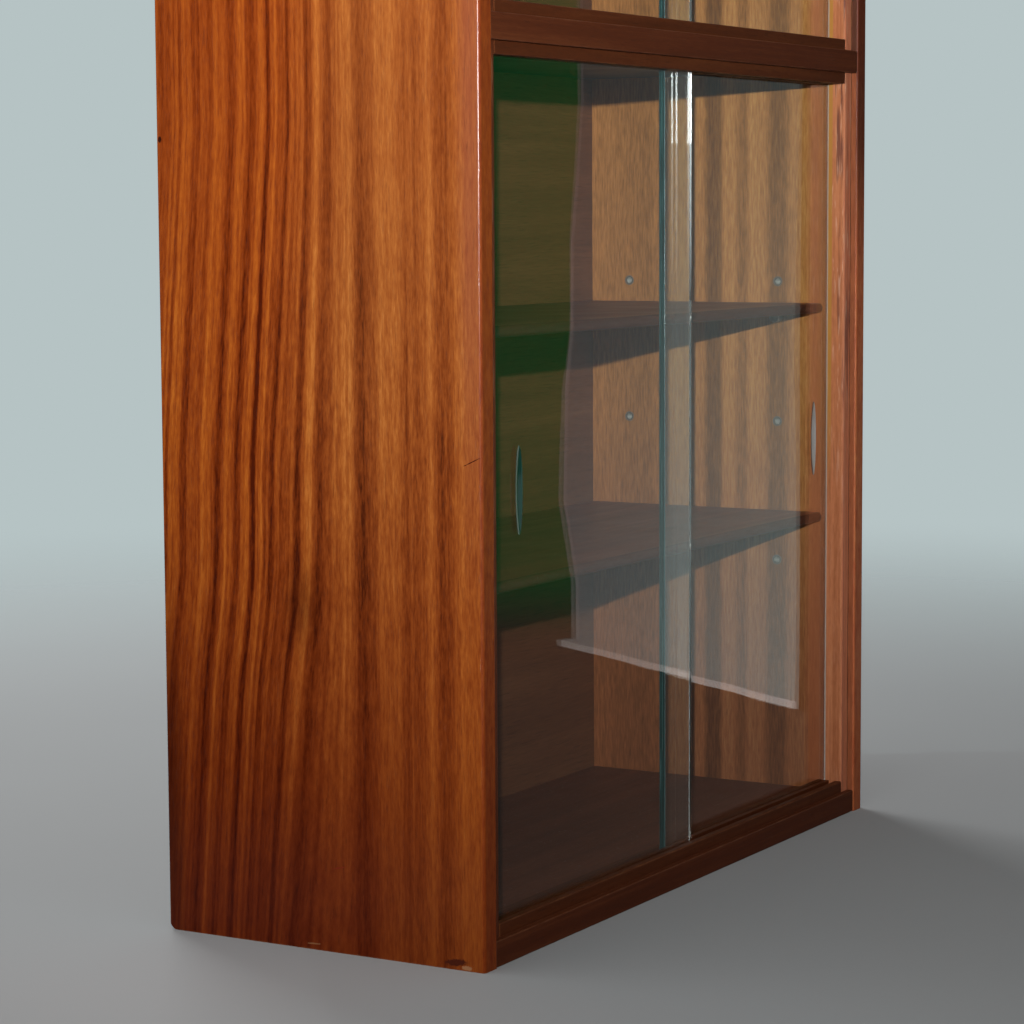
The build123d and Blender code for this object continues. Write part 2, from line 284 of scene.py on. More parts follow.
def sideVeneer(node, outward, shift):
    material, tree, shader, out = newMaterial(node + "Veneer", Specular_IOR_Level=sideLook["gleam"])
    look = sideLook
    low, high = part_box(node)
    place, axes = objectPlace(tree)
    leaning = dict(axes, Y=calc(tree, "SUBTRACT", axes["Y"], leanSlide(tree, axes)))
    tone, lie, across, along = woodTone(tree, leaning, look, shift)
    depth = calc(tree, "SUBTRACT", across, caseLow.y + look["wander"] / 2)
    tone = calc(tree, "ADD", tone, bandTone(tree, depth, look["ribbons"]))
    rates, amount, (start, end) = look["stripes"]
    stripe = grainNoise(tree, lie, rates, shift + 1.1, 0.0)
    stripe = fade(tree, stripe, *look["stripeEdges"], -amount / 2, amount / 2)
    tone = calc(tree, "MULTIPLY_ADD", stripe, fade(tree, depth, start, end), tone)
    rates, amount = look["patches"]
    patch = grainNoise(tree, lie, rates, shift + 2.3)
    tone = calc(tree, "ADD", tone, calc(tree, "MULTIPLY_ADD", patch, amount, -amount / 2))
    (start, end), (lower, upper), (foot, clean, least) = look["contrast"]
    strength = fade(tree, along, start, end, lower, upper)
    strength = calc(tree, "MULTIPLY", strength, fade(tree, along, foot, clean, least, 1.0))
    tone = calc(tree, "MULTIPLY_ADD", calc(tree, "SUBTRACT", tone, 0.5), strength, 0.5)

    # polished outer face
    (start, end), (foot, clean, least) = look["goldFrom"]
    golden = fade(tree, depth, start, end)
    golden = calc(tree, "MULTIPLY", golden, fade(tree, along, foot, clean, least, 1.0))
    reds, golds = (toneRamp(tree, tone, look[k]) for k in ("redTones", "goldTones"))
    polish = blendTint(tree, golden, reds, golds)
    (nearEdge, farEdge), (faint, full), share, bloom = look["mauve"]
    mauve = fade(tree, depth, nearEdge, farEdge, 0.0, share)
    mauve = calc(tree, "MULTIPLY", mauve, fade(tree, along, faint, full))
    polish = blendTint(tree, mauve, polish, tint(bloom))
    # painted shade for the light falling off towards the floor, mixed with aged polish: darker low down
    # and towards the rear
    (foot, clean), (nearFront, behind, frontShare), footShadeAndAgeTone = look["grime"]
    grime = calc(tree, "MULTIPLY", fade(tree, along, foot, clean, 1.0, 0.0),
                 fade(tree, depth, nearFront, behind, frontShare, 1.0))
    polish = blendTint(tree, grime, polish, tint(footShadeAndAgeTone), "MULTIPLY")

    # plain inner face, its lip before the jamb, and the edges
    straight = put(tree, "ShaderNodeCombineXYZ", {0: axes["Y"], 1: axes["X"], 2: along}).outputs[0]
    rates, amount = look["insideFleck"]
    fleck = grainNoise(tree, straight, rates, 7.0, 1.0)
    upright = calc(tree, "SUBTRACT", axes["Y"], caseLow.y)
    calm = calc(tree, "MULTIPLY_ADD", fleck, amount, -amount / 2)
    calm = calc(tree, "ADD", calm, bandTone(tree, upright, look["insideRibbons"]))
    # painted shade: the inner face darkens towards the floor as the light falls off
    (foot, clean), shade = look["insideShade"]
    insideShadeMask = fade(tree, along, foot, clean, 1.0, 0.0)
    plain = blendTint(tree, insideShadeMask, toneRamp(tree, calm, look["insideTones"]), tint(shade), "MULTIPLY")
    (start, end), share, shade = look["insideFront"]
    plain = blendTint(tree, fade(tree, upright, start, end, 0.0, share), plain, tint(shade))
    edge = toneRamp(tree, tone, look["leftEdge" if outward < 0 else "rightEdge"])
    if outward > 0:
        # painted shade on the right front edge towards the top
        (start, end), shade = look["rightEdgeDim"]
        edge = blendTint(tree, fade(tree, along, start, end), edge, tint(shade), "MULTIPLY")
    lip = toneRamp(tree, calm, look["lipTones"])
    # painted shade on the lip above the divider
    (start, end), shade = look["lipDim"]
    lip = blendTint(tree, fade(tree, along, start, end), lip, tint(shade), "MULTIPLY")
    raw = toneRamp(tree, tone, look["rawTones"])

    innerFace = min(abs(low.x), abs(high.x))
    run = calc(tree, "MULTIPLY", axes["X"], outward)
    inside = fade(tree, run, *(innerFace + turn for turn in look["insideTurn"]))
    behindJamb = fade(tree, axes["Y"], *look["jambFront"])
    frontEdge = fade(tree, axes["Y"], *(low.y + turn for turn in look["frontTurn"]))
    rearEdge = fade(tree, axes["Y"], *(high.y - turn for turn in look["rearTurn"]))
    fromMiddle = calc(tree, "ABSOLUTE", calc(tree, "SUBTRACT", axes["Z"], high.z / 2))
    ends = fade(tree, fromMiddle, *(high.z / 2 - turn for turn in look["endTurn"]))
    colour = blendTint(tree, inside, polish, blendTint(tree, behindJamb, lip, plain))
    colour = blendTint(tree, frontEdge, colour, edge)
    colour = blendTint(tree, rearEdge, colour, raw)
    colour = blendTint(tree, ends, colour, raw)

    # pores, wear and marks
    poreRates, poreShare, poreTone = look["pores"]
    pores = poreMask(tree, lie, poreRates)
    colour = blendTint(tree, calc(tree, "MULTIPLY", pores, poreShare), colour, tint(poreTone))
    grit = grainNoise(tree, place, look["grit"], 5.0)
    wearWidth, wearShare, wornTone = look["wear"]
    wear = arrisMask(tree, axes, low, high, wearWidth, grit)
    # the wear on the right side fades out under the painted shade at the top of its front edge
    if outward > 0:
        wearShare = fade(tree, along, *look["rightEdgeDim"][0], wearShare, 0.0)
    colour = blendTint(tree, calc(tree, "MULTIPLY", wear, wearShare), colour, tint(wornTone))
    if outward < 0:
        rates, amount = look["markRagged"]
        ragged = grainNoise(tree, place, rates, 6.0)
        for middle, half, share in look["clouds"]:
            cloud = fade(tree, patchReach(tree, axes, middle, half), *look["cloudEdge"], 0.0, share)
            cloud = calc(tree, "MULTIPLY", cloud, calc(tree, "SUBTRACT", 1.0, inside))
            colour = blendTint(tree, cloud, colour, tint(look["cloudTone"]))
        for middle, half, rise, tone in look["marks"]:
            reach = patchReach(tree, axes, middle, half, rise)
            mark = fade(tree, calc(tree, "MULTIPLY_ADD", ragged, amount, reach), *look["markEdge"])
            colour = blendTint(tree, mark, colour, tint(tone))
    haze = grainNoise(tree, place, look["haze"], 2.0)
    level, swing, more = look["gloss"]
    gloss = calc(tree, "MULTIPLY_ADD", haze, swing, level)
    gloss = calc(tree, "MULTIPLY_ADD", inside, more, gloss)
    tree.links.new(colour, shader.inputs["Base Color"])
    tree.links.new(gloss, shader.inputs["Roughness"])
    skin = relief(tree, calc(tree, "MULTIPLY", pores, -1.0), fibreLook["poreDepth"])
    skin = relief(tree, haze, look["ripple"], skin)
    tree.links.new(skin, shader.inputs["Normal"])
    return material


# plainer woods share one recipe
woodLooks = {
    "boardVeneer": {
        "axes": "YZX", "wander": 0.012, "level": 0.5,
        "bands": [(35.0, 1.2, 0.5), (170.0, 4.0, 0.3), (700.0, 60.0, 0.3)],
        "tones": [(0.0, "3c1e16"), (0.5, "703e2c"), (1.0, "9a5c40")], "gleam": 0.15,
        # under: the bottom of each board is darker, a painted shade beneath it
        "dust": 0.5, "under": 0.15,
        "rough": (0.42, 0.18), "wear": (0.0015, 0.35, "7a5439"), "pores": (700.0, 700.0, 40.0),
    },
    "lippingWood": {
        "axes": "ZYX", "wander": 0.004, "level": 0.5,
        "bands": [(90.0, 1.6, 0.5), (420.0, 7.0, 0.3), (900.0, 70.0, 0.25)],
        "tones": [(0.0, "2c140d"), (0.5, "582916"), (1.0, "7e4628")], "gleam": 0.08,
        "rough": (0.30, 0.18), "wear": (0.0018, 0.55, "7d5038"), "pores": (1100.0, 1100.0, 55.0),
    },
    "trackWood": {
        "axes": "YZX", "wander": 0.003, "level": 0.5,
        "bands": [(110.0, 1.8, 0.5), (500.0, 9.0, 0.3), (900.0, 90.0, 0.25)],
        "tones": [(0.0, "2c140b"), (0.5, "562914"), (1.0, "7a4424")], "gleam": 0.08,
        "rough": (0.34, 0.2), "wear": (0.0014, 0.5, "96603c"), "pores": (1000.0, 1000.0, 60.0),
    },
    "jambWood": {
        "axes": "XYZ", "wander": 0.003, "level": 0.5,
        "bands": [(160.0, 1.4, 0.7), (600.0, 5.0, 0.6), (900.0, 90.0, 0.4)],
        "tones": [(0.0, "80402e"), (0.5, "d4825e"), (1.0, "f0b08a")], "gleam": 0.12,
        "stain": "4c2a30", "worn": "e2b498",
        # the dark line at the jamb's outer edge is a painted shadow of the gap between the jamb and the
        # side
        "inner": [(0.0, "8b4729"), (0.5, "c57c53"), (1.0, "dd9c74")], "joint": (0.0013, "2e160e"),
        # the pale line just in front of the groove is a painted reflection of the pane's edge
        "groove": 0.007, "gold": (0.0050, "b88438"), "goldFrom": (0.30, 0.46), "line": (0.0009, "a9a49c"),
        "rough": (0.34, 0.2), "wear": (0.0016, 0.7, "c88a5c"), "pores": (1000.0, 1000.0, 60.0),
    },
    "shelfWood": {
        "axes": "YZX", "wander": 0.010, "level": 0.5,
        "bands": [(48.0, 1.2, 0.5), (210.0, 4.0, 0.3), (700.0, 70.0, 0.3)],
        "tones": [(0.0, "3e1c10"), (0.5, "7a3d28"), (1.0, "a46048")], "gleam": 0.15,
        "dust": 0.35, "nose": 0.45,
        "rough": (0.36, 0.18), "wear": (0.0014, 0.3, "80573f"), "pores": (800.0, 800.0, 45.0),
    },
    "backPly": {
        "axes": "ZYX", "wander": 0.030, "level": 0.5,
        "bands": [(16.0, 1.1, 0.6), (90.0, 3.0, 0.35), (600.0, 45.0, 0.3)],
        "tones": [(0.0, "442418"), (0.5, "70442c"), (1.0, "926242")], "gleam": 0.15,
        "rough": (0.5, 0.2), "wear": (0.0012, 0.3, "9a7350"), "pores": (900.0, 900.0, 35.0),
    },
    "dowelWood": {
        "axes": "YZX", "wander": 0.002, "level": 0.5,
        "bands": [(300.0, 12.0, 0.5), (900.0, 60.0, 0.3)],
        "tones": [(0.0, "a5814f"), (0.5, "c4a26c"), (1.0, "d9bd8c")], "gleam": 0.2,
        "rough": (0.6, 0.15), "wear": (0.0008, 0.3, "8f6c42"), "pores": (1500.0, 1500.0, 90.0),
    },
}

# the jambs on the left get a darker copy of the jamb wood: a painted shade
woodLooks["leftJambWood"] = dict(woodLooks["jambWood"], worn="8a5a3c",
                                 tones=[(0.0, "30150b"), (0.5, "5c2c17"), (1.0, "80482a")])
# shared by all of them: a turn is how far past a face its own tone runs
woodDetail = {
    "grainStep": 1.7,
    "poreShare": 0.35,
    "innerTurn": (0.0010, 0.0003),
    "underTurn": (0.0003, 0.0008),
    "noseTurn": (0.0055, 0.0035),
    "softEdge": 0.0004,
    # patches: rates, limits of the noise, share
    "stain": ((150.0, 150.0, 9.0), (0.54, 0.66), 0.7),
    "worn": ((260.0, 260.0, 26.0), (0.56, 0.68), 0.6),
    "wornHeights": (0.2, 0.6, 0.15),
    "bandShare": 0.8,
    "dust": ((420.0, 420.0, 420.0), (0.68, 0.76)),
    "dustTone": "a39a90",
    "gritRates": (60.0, 60.0, 60.0),
    "hazeRates": (14.0, 14.0, 14.0),
}


def plainWood(name, look, node, shift):
    material, tree, shader, out = newMaterial(name, Specular_IOR_Level=look["gleam"])
    detail = woodDetail
    place, axes = objectPlace(tree)
    tone, lie, across, along = woodTone(tree, axes, look, shift)
    colour = toneRamp(tree, tone, look["tones"])
    pores = poreMask(tree, lie, look["pores"])
    filled = calc(tree, "MULTIPLY", pores, detail["poreShare"])
    colour = blendTint(tree, filled, colour, tint(look["tones"][0][1]))
    low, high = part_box(node)
    run, inner, outer = axes["X"], low.x, high.x
    if "left_jamb" in node:
        run, inner, outer = calc(tree, "MULTIPLY", axes["X"], -1.0), -high.x, -low.x
    if "inner" in look:
        beside = fade(tree, run, *(inner + turn for turn in detail["innerTurn"]))
        colour = blendTint(tree, beside, colour, toneRamp(tree, tone, look["inner"]))
    if "stain" in look:
        upper = fade(tree, axes["Z"], *detail["wornHeights"], 1.0)
        for kind, slide in (("stain", 0.0), ("worn", 5.0)):
            rates, limits, share = detail[kind]
            patch = fade(tree, grainNoise(tree, place, rates, shift + slide, 3.0), *limits, 0.0, share)
            colour = blendTint(tree, calc(tree, "MULTIPLY", patch, upper), colour, tint(look[kind]))
    if "groove" in look:
        mouth = high.y - look["groove"]
        aged = fade(tree, axes["Z"], *look["goldFrom"], 0.0, detail["bandShare"])
        # a golden band before the groove, and a pale line that is a painted reflection of the pane's edge
        for (width, shade), share in ((look["gold"], aged), (look["line"], detail["bandShare"])):
            start = mouth - width
            band = fade(tree, axes["Y"], start - detail["softEdge"], start)
            colour = blendTint(tree, calc(tree, "MULTIPLY", band, share), colour, tint(shade))
        # painted shadow of the gap between the jamb and the side, a dark line along the jamb's outer edge
        width, shade = look["joint"]
        joint = fade(tree, run, outer - width - detail["softEdge"], outer - width)
        colour = blendTint(tree, joint, colour, tint(shade))
    if "dust" in look:
        rates, limits = detail["dust"]
        speck = fade(tree, grainNoise(tree, place, rates, shift, 1.0), *limits, 0.0, look["dust"])
        colour = blendTint(tree, speck, colour, tint(detail["dustTone"]))
    # painted shade on the underside of the boards
    if "under" in look:
        start, end = (low.z + turn for turn in detail["underTurn"])
        under = fade(tree, axes["Z"], start, end, look["under"], 1.0)
        colour = blendTint(tree, 1.0, colour, under, "MULTIPLY")
    if "nose" in look:
        start, end = (low.y + turn for turn in detail["noseTurn"])
        nose = fade(tree, axes["Y"], start, end, 1.0, look["nose"])
        colour = blendTint(tree, 1.0, colour, nose, "MULTIPLY")
    width, share, worn = look["wear"]
    grit = grainNoise(tree, place, detail["gritRates"], shift)
    wear = arrisMask(tree, axes, low, high, width, grit)
    colour = blendTint(tree, calc(tree, "MULTIPLY", wear, share), colour, tint(worn))
    level, swing = look["rough"]
    haze = grainNoise(tree, place, detail["hazeRates"], shift)
    tree.links.new(colour, shader.inputs["Base Color"])
    tree.links.new(calc(tree, "MULTIPLY_ADD", haze, swing, level), shader.inputs["Roughness"])
    skin = relief(tree, calc(tree, "MULTIPLY", pores, -1.0), fibreLook["poreDepth"])
    tree.links.new(skin, shader.inputs["Normal"])
    return material


# metals
metalPitting = 0.00002
metalLooks = {
    "socketMetal": {"tones": [(0.0, "b8b6b0"), (1.0, "e2e0da")], "bare": 0.1, "rough": (0.5, 0.3),
                    "rate": 420.0, "rim": (0.3612, 0.3618, "6c655e")},
    "studMetal": {"tones": [(0.0, "7d7f80"), (1.0, "c0c2c3")], "bare": 0.7, "rough": (0.34, 0.25),
                  "rate": 380.0},
    "screwBrass": {"tones": [(0.0, "7d5a24"), (1.0, "c79c4e")], "bare": 1.0, "rough": (0.3, 0.3),
                   "rate": 420.0},
    "pinSteel": {"tones": [(0.0, "5d5f61"), (1.0, "96999b")], "bare": 1.0, "rough": (0.35, 0.25),
                 "rate": 500.0},
}


def metal(name, look):
    material, tree, shader, out = newMaterial(name, Metallic=look["bare"])
    place, axes = objectPlace(tree)
    bloom = grainNoise(tree, place, (look["rate"],) * 3, 1.0, 3.0)
    colour = toneRamp(tree, bloom, look["tones"])
    if "rim" in look:
        start, end, shade = look["rim"]
        rim = fade(tree, calc(tree, "ABSOLUTE", axes["X"]), end, start)
        colour = blendTint(tree, rim, colour, tint(shade))
    tree.links.new(colour, shader.inputs["Base Color"])
    level, swing = look["rough"]
    tree.links.new(calc(tree, "MULTIPLY_ADD", bloom, swing, level), shader.inputs["Roughness"])
    tree.links.new(relief(tree, bloom, metalPitting), shader.inputs["Normal"])
    return material


# every carried-over node gets its finish by its slot
def dressNode(node, material):
    nodes[node].data.materials[0] = material


def finishFor(node):
    slot = nodes[node].data.materials[0].name.split(".")[0]
    words = slot.split("_")
    return words[0] + "".join(w.capitalize() for w in words[1:])


metals = {name: metal(name, look) for name, look in metalLooks.items()}
for order, node in enumerate(sorted(nodes)):
    finish = finishFor(node)
    shift = woodDetail["grainStep"] * order
    if finish == "sideVeneer":
        outward = -1.0 if node.startswith("left") else 1.0
        dressNode(node, sideVeneer(node, outward, 0.0 if outward < 0 else 4.0))
    elif finish == "stripWood":
        kind = "trackWood"
        if node.endswith("_jamb"):
            kind = "leftJambWood" if "left" in node else "jambWood"
        dressNode(node, plainWood(node + "Wood", woodLooks[kind], node, shift))
    elif finish in woodLooks:
        dressNode(node, plainWood(node + "Wood", woodLooks[finish], node, shift))
    elif finish in metals:
        dressNode(node, metals[finish])
print("woods and metals dressed")


# plate glass doors
doorLook = {
    "arris": 0.0005,
    "arrisSteps": 3,
    "pullLength": 0.074,
    "pullWidth": 0.012,
    "pullDepth": 0.0025,
    "pullInsets": {"left": 0.053, "right": 0.0355},
    "wheelReach": 1.3,  # how much longer than the pull the stretch of wheel is
    "wheelSteps": 48,
    "rimSteps": 72,
    "index": 1.5,
    "pane": "fbfefd",
    "paneWave": ((5.0, 5.0, 3.0), 0.0003),
    "shade": "f7fbfa",
    "edgeTones": [(0.25, "0a2626"), (0.55, "1a4848"), (0.8, "386c6c")],
    "edgeStreak": (900.0, 900.0, 18.0),
    "edgeRough": (0.3, 0.7, 0.08, 0.3),
    "arrisTone": "6c8688",
    "arrisNibble": ((700.0, 700.0, 260.0), 0.00003),
    "arrisFrost": (0.30, 0.10, 0.15, 0.7),  # two heights, and the share that is frosted there
    "frost": "e4ecec",
    "rimWidth": (0.0012, -0.0004),
    # pull tones: on the left a painted reflection of green, on the right a pale matt grey that is partly
    # a painted reflection; the rims a painted highlight on the left and a painted shadow on the right
    "leftGround": [(0.2, "0c3028"), (0.8, "226050")],
    "leftRim": "93a89c",
    "rightGround": [(0.2, "9d9896"), (0.8, "ccc8c4")],
    "rightRim": "2f262a",
    "groundSides": (-0.1, 0.1),
    "groundBloom": (600.0, 600.0, 60.0),
    "groundClear": (0.5, 0.25),  # on the left and on the right
    "groundRough": (0.08, 0.4),
}


def letLampsThrough(tree, shader, out, colour):
    # lamps and soft light pass straight through a pane
    path = put(tree, "ShaderNodeLightPath").outputs
    clear = put(tree, "ShaderNodeBsdfTransparent", {"Color": colour})
    soft = calc(tree, "MAXIMUM", path["Is Shadow Ray"], path["Is Diffuse Ray"])
    mix = put(tree, "ShaderNodeMixShader", {0: soft, 1: shader.outputs[0], 2: clear.outputs[0]})
    tree.links.new(mix.outputs[0], out.inputs["Surface"])


def clearInside(tree, shader, out, frost=0.0):
    # from within the pane an edge is clear, and mirrors by total reflection, or partly frosted
    glass = {"Color": tint(doorLook["pane"]), "Roughness": 0.0, "IOR": doorLook["index"]}
    clear = put(tree, "ShaderNodeBsdfGlass", glass)
    ground = put(tree, "ShaderNodeBsdfDiffuse", {"Color": tint(doorLook["frost"])})
    inner = put(tree, "ShaderNodeMixShader", {0: frost, 1: clear.outputs[0], 2: ground.outputs[0]})
    within = put(tree, "ShaderNodeNewGeometry").outputs["Backfacing"]
    mix = put(tree, "ShaderNodeMixShader", {0: within, 1: shader.outputs[0], 2: inner.outputs[0]})
    tree.links.new(mix.outputs[0], out.inputs["Surface"])


def paneGlass():
    clearness = {"Transmission_Weight": 1.0, "Roughness": 0.0, "IOR": doorLook["index"]}
    material, tree, shader, out = newMaterial("paneGlass", **clearness)
    shader.inputs["Base Color"].default_value = tint(doorLook["pane"])
    place, axes = objectPlace(tree)
    rates, swell = doorLook["paneWave"]
    wave = grainNoise(tree, place, rates, 1.0, 1.0)
    tree.links.new(relief(tree, wave, swell), shader.inputs["Normal"])
    letLampsThrough(tree, shader, out, tint(doorLook["shade"]))
    return material


def edgeGlass():
    clearness = {"Transmission_Weight": 0.2, "IOR": doorLook["index"]}
    material, tree, shader, out = newMaterial("edgeGlass", **clearness)
    place, axes = objectPlace(tree)
    streak = grainNoise(tree, place, doorLook["edgeStreak"], 2.0)
    tree.links.new(toneRamp(tree, streak, doorLook["edgeTones"]), shader.inputs["Base Color"])
    tree.links.new(fade(tree, streak, *doorLook["edgeRough"]), shader.inputs["Roughness"])
    clearInside(tree, shader, out)
    return material


def arrisGlass():
    # the polished arris, where the lamp glints
    clearness = {"Transmission_Weight": 0.3, "Roughness": 0.2, "IOR": doorLook["index"]}
    material, tree, shader, out = newMaterial("arrisGlass", **clearness)
    place, axes = objectPlace(tree)
    rates, pitting = doorLook["arrisNibble"]
    nibble = grainNoise(tree, place, rates, 4.0)
    shader.inputs["Base Color"].default_value = tint(doorLook["arrisTone"])
    tree.links.new(relief(tree, nibble, pitting), shader.inputs["Normal"])
    clearInside(tree, shader, out, fade(tree, axes["Z"], *doorLook["arrisFrost"]))
    return material


def pullPlace(node):
    # middle of a finger pull, on the front face of its pane
    low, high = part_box(node)
    insets = doorLook["pullInsets"]
    x = low.x + insets["left"] if "left" in node else high.x - insets["right"]
    return Vector((x, low.y, (low.z + high.z) / 2))


def groundGlass():
    # the pulls on the right are ground matt and pale grey, partly a painted reflection of a pale wall,
    # with a painted shadow on the rim; those on the left are polished, their dark green a painted
    # reflection of something green, with a painted highlight on the rim
    look = doorLook
    material, tree, shader, out = newMaterial("groundGlass", IOR=look["index"])
    place, axes = objectPlace(tree)
    bloom = grainNoise(tree, place, look["groundBloom"], 3.0)
    onRight = fade(tree, axes["X"], *look["groundSides"])
    left, right = pullPlace("lower_left_door"), pullPlace("lower_right_door")
    middle = calc(tree, "MULTIPLY_ADD", onRight, right.x - left.x, left.x)
    # the rims carry a painted highlight on the left and a painted shadow on the right
    rim = fade(tree, calc(tree, "SUBTRACT", axes["X"], middle), *look["rimWidth"])
    leftBody, rightBody = (toneRamp(tree, bloom, look[k]) for k in ("leftGround", "rightGround"))
    body = blendTint(tree, onRight, leftBody, rightBody)
    shade = blendTint(tree, onRight, tint(look["leftRim"]), tint(look["rightRim"]))
    tree.links.new(blendTint(tree, rim, body, shade), shader.inputs["Base Color"])
    for share, socket in (("groundClear", "Transmission Weight"), ("groundRough", "Roughness")):
        tree.links.new(fade(tree, onRight, 0.0, 1.0, *look[share]), shader.inputs[socket])
    letLampsThrough(tree, shader, out, tint(doorLook["shade"]))
    return material


def boxMesh(low, high):
    bm = bmesh.new()
    bmesh.ops.create_cube(bm, size=1.0)
    bmesh.ops.scale(bm, vec=[b - a for a, b in zip(low, high)], verts=bm.verts)
    bmesh.ops.translate(bm, vec=[(a + b) / 2 for a, b in zip(low, high)], verts=bm.verts)
    return bm


def toObject(bm, name, materials):
    mesh = bpy.data.meshes.new(name)
    bm.to_mesh(mesh)
    bm.free()
    for material in materials:
        mesh.materials.append(material)
    piece = bpy.data.objects.new(name, mesh)
    bpy.context.scene.collection.objects.link(piece)
    return piece


def grindingWheel(middle):
    # the rounded rim of the wheel that cuts a finger pull, as a short stretch of ring
    look = doorLook
    depth = look["pullDepth"]
    wheel = ((look["pullLength"] / 2) ** 2 + depth ** 2) / (2 * depth)
    rim = ((look["pullWidth"] / 2) ** 2 + depth ** 2) / (2 * depth)
    hub = Vector((middle.x, middle.y + depth - wheel, middle.z))
    reach = look["wheelReach"] * math.asin(look["pullLength"] / 2 / wheel)
    bm = bmesh.new()
    bmesh.ops.create_circle(bm, cap_ends=True, segments=look["rimSteps"], radius=rim)
    bmesh.ops.translate(bm, vec=(0.0, wheel - rim, 0.0), verts=bm.verts)
    bmesh.ops.rotate(bm, cent=(0, 0, 0), matrix=Matrix.Rotation(-reach, 3, "X"), verts=bm.verts)
    bmesh.ops.translate(bm, vec=hub, verts=bm.verts)
    bmesh.ops.spin(bm, geom=bm.verts[:] + bm.edges[:] + bm.faces[:], cent=hub, axis=(1, 0, 0),
                   dvec=(0, 0, 0), angle=2 * reach, steps=look["wheelSteps"], use_merge=False,
                   use_duplicate=False)
    bmesh.ops.recalc_face_normals(bm, faces=bm.faces)
    for face in bm.faces:
        face.material_index = 2
    return bm


def glassDoor(node, materials):
    look = doorLook
    low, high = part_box(node)
    bm = boxMesh(low, high)
    for face in bm.faces:
        face.material_index = 0 if abs(face.normal.y) > 0.5 else 1
    rounded = bmesh.ops.bevel(bm, geom=bm.edges[:], offset=look["arris"], offset_type="OFFSET",
                              affect="EDGES", segments=look["arrisSteps"], profile=0.5, material=-1)
    for face in rounded["faces"]:
        face.material_index = 3
    pane = toObject(bm, node + "Pane", materials)
    cutter = toObject(grindingWheel(pullPlace(node)), "wheel", materials)
    cut = pane.modifiers.new("pull", "BOOLEAN")
    cut.object = cutter
    cut.operation = "DIFFERENCE"
    cut.solver = "EXACT"
    shaped = bpy.data.meshes.new_from_object(pane.evaluated_get(bpy.context.evaluated_depsgraph_get()))
    pane.modifiers.clear()
    old = pane.data
    pane.data = shaped
    bpy.data.meshes.remove(old)
    bpy.data.objects.remove(cutter)
    for face in shaped.polygons:
        face.use_smooth = face.material_index > 1  # the hollow and the arrises are curved
    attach(pane, node)
    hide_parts(node)
    return pane


doorMaterials = [paneGlass(), edgeGlass(), groundGlass(), arrisGlass()]  # by face index
for node in sorted(n for n in nodes if n.endswith("_door")):
    glassDoor(node, doorMaterials)
print("glass doors cut")


# floor, lights, world and camera
stageLook = {
    "floorRadius": 7.0,
    "floorSteps": 96,
    "floorRough": 0.9,
    "floorFade": (0.9, 3.2),
    "floor": "b9bcbd",
    "floorMottle": ((2.0, 2.0, 2.0), 1.06),
    "world": "b6c3c4",
    "ambient": 0.09,
    "floorBounce": 0.35,
}
# the key has a grid, so that it falls off towards the floor
lampLook = {
    "key": {"place": (-2.396, -1.348, 0.80), "aim": (0.0, 0.0, 0.92),
            "size": 0.02, "power": 7.35, "spread": 56.0},
    "top": {"place": (-0.6, 0.3, 3.2), "aim": (0.0, 0.0, 0.8),
            "size": 2.0, "power": 26.0, "spread": 180.0},
    "rear": {"place": (1.6, 2.4, 2.2), "aim": (0.0, 0.0, 0.8),
             "size": 1.6, "power": 40.0, "spread": 180.0},
}
# screens that only mirror in the glass and the polish
# two ends, low and high edge, shade at the two ends, and at two heights the brightness at the two ends
darkShades = [(0.02, 0.015, 0.012, 1.0)] * 2
lampShades = [(0.95, 0.98, 1.0, 1.0)] * 2
lampEnds = [(-2.432, -1.266), (-2.352, -1.404)]
evenLevels = [(0.0, 1.0, 1.0), (0.9, 1.0, 1.0)]
